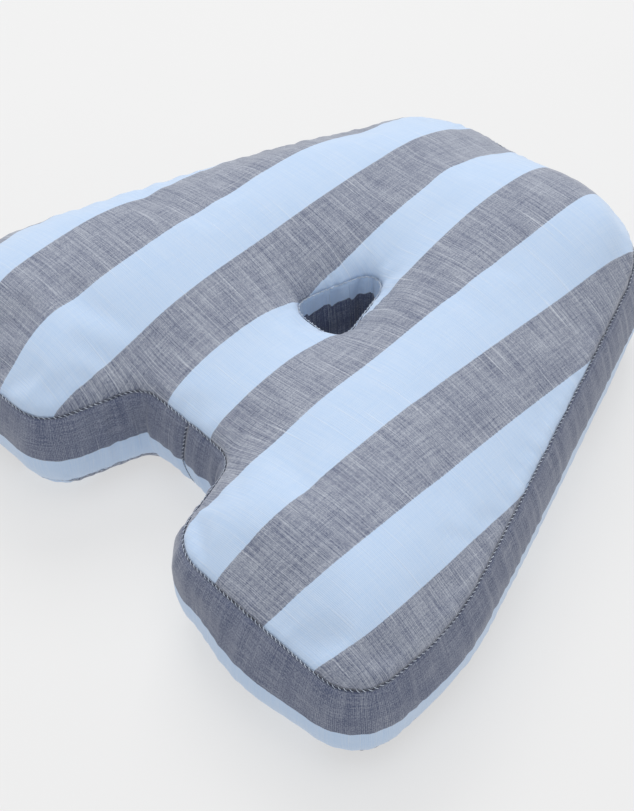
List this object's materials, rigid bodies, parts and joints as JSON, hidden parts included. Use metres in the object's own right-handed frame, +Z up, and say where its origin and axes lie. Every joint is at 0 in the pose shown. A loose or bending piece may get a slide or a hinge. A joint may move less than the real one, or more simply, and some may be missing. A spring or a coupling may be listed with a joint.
{
  "type": "letter-shaped cushion",
  "caption": "Stuffed box cushion shaped like a capital letter A, lying flat, in a zipped striped cotton cover with a stitched gusset.",
  "frame": {"origin": "on the floor, at the bottom centre of the bounding box", "axes": "+Z up, +Y from the two feet to the top of the letter, +X to the letter's right seen from above"},
  "size_m": [0.422, 0.382, 0.1023],
  "materials": {
    "striped_cotton": "yarn-dyed light blue and heathered navy stripes with pale slubs, matt",
    "gusset_cotton": "the same cloth, its navy heathered stripe over a light blue one, matt",
    "light_cotton": "the same cloth, light blue stripe, matt",
    "sewing_thread": "spun polyester thread",
    "casing_cloth": "undyed cotton lining",
    "fibre": "hollow polyester fibre",
    "zip_tape": "woven polyester tape",
    "zip_coil": "nylon coil",
    "zip_metal": "plated zinc",
    "label_satin": "blank satin ribbon"
  },
  "bodies": {
    "cushion": {"cover_top_panel": "striped_cotton", "cover_bottom_panel": "striped_cotton", "gusset_strip_right": "gusset_cotton", "gusset_strip_left": "gusset_cotton", "zip_facing_upper": "gusset_cotton", "zip_facing_lower": "light_cotton", "hole_lining_strip": "gusset_cotton", "seam_thread_top_outer": "sewing_thread", "seam_thread_bottom_outer": "sewing_thread", "seam_thread_top_hole": "sewing_thread", "seam_thread_bottom_hole": "sewing_thread", "seam_thread_gusset_join": "sewing_thread", "seam_thread_zip_end_apex": "sewing_thread", "seam_thread_zip_end_foot": "sewing_thread", "pad_casing_top": "casing_cloth", "pad_casing_bottom": "casing_cloth", "pad_casing_wall": "casing_cloth", "pad_casing_hole_wall": "casing_cloth", "fibre_filling": "fibre", "zip_tape_upper": "zip_tape", "zip_tape_lower": "zip_tape", "zip_coil_upper": "zip_coil", "zip_coil_lower": "zip_coil", "zip_top_stop_upper": "zip_metal", "zip_top_stop_lower": "zip_metal", "zip_bottom_stop": "zip_metal", "topstitch_thread_upper": "sewing_thread", "topstitch_thread_lower": "sewing_thread", "care_label": "label_satin"},
    "slider": {"zip_slider": "zip_metal"},
    "pull": {"zip_pull": "zip_metal"}
  },
  "joints": [
    {"name": "zip_slide", "type": "slide", "parent": "cushion", "child": "slider", "axis": [-0.3504, -0.9366, 0], "range_m": [0, 0.19]},
    {"name": "pull_hinge", "type": "hinge", "parent": "slider", "child": "pull", "pos_m": [-0.12818, 0.12017, 0.04075], "axis": [0, 0, -1], "range_deg": [0, 170]}
  ]
}
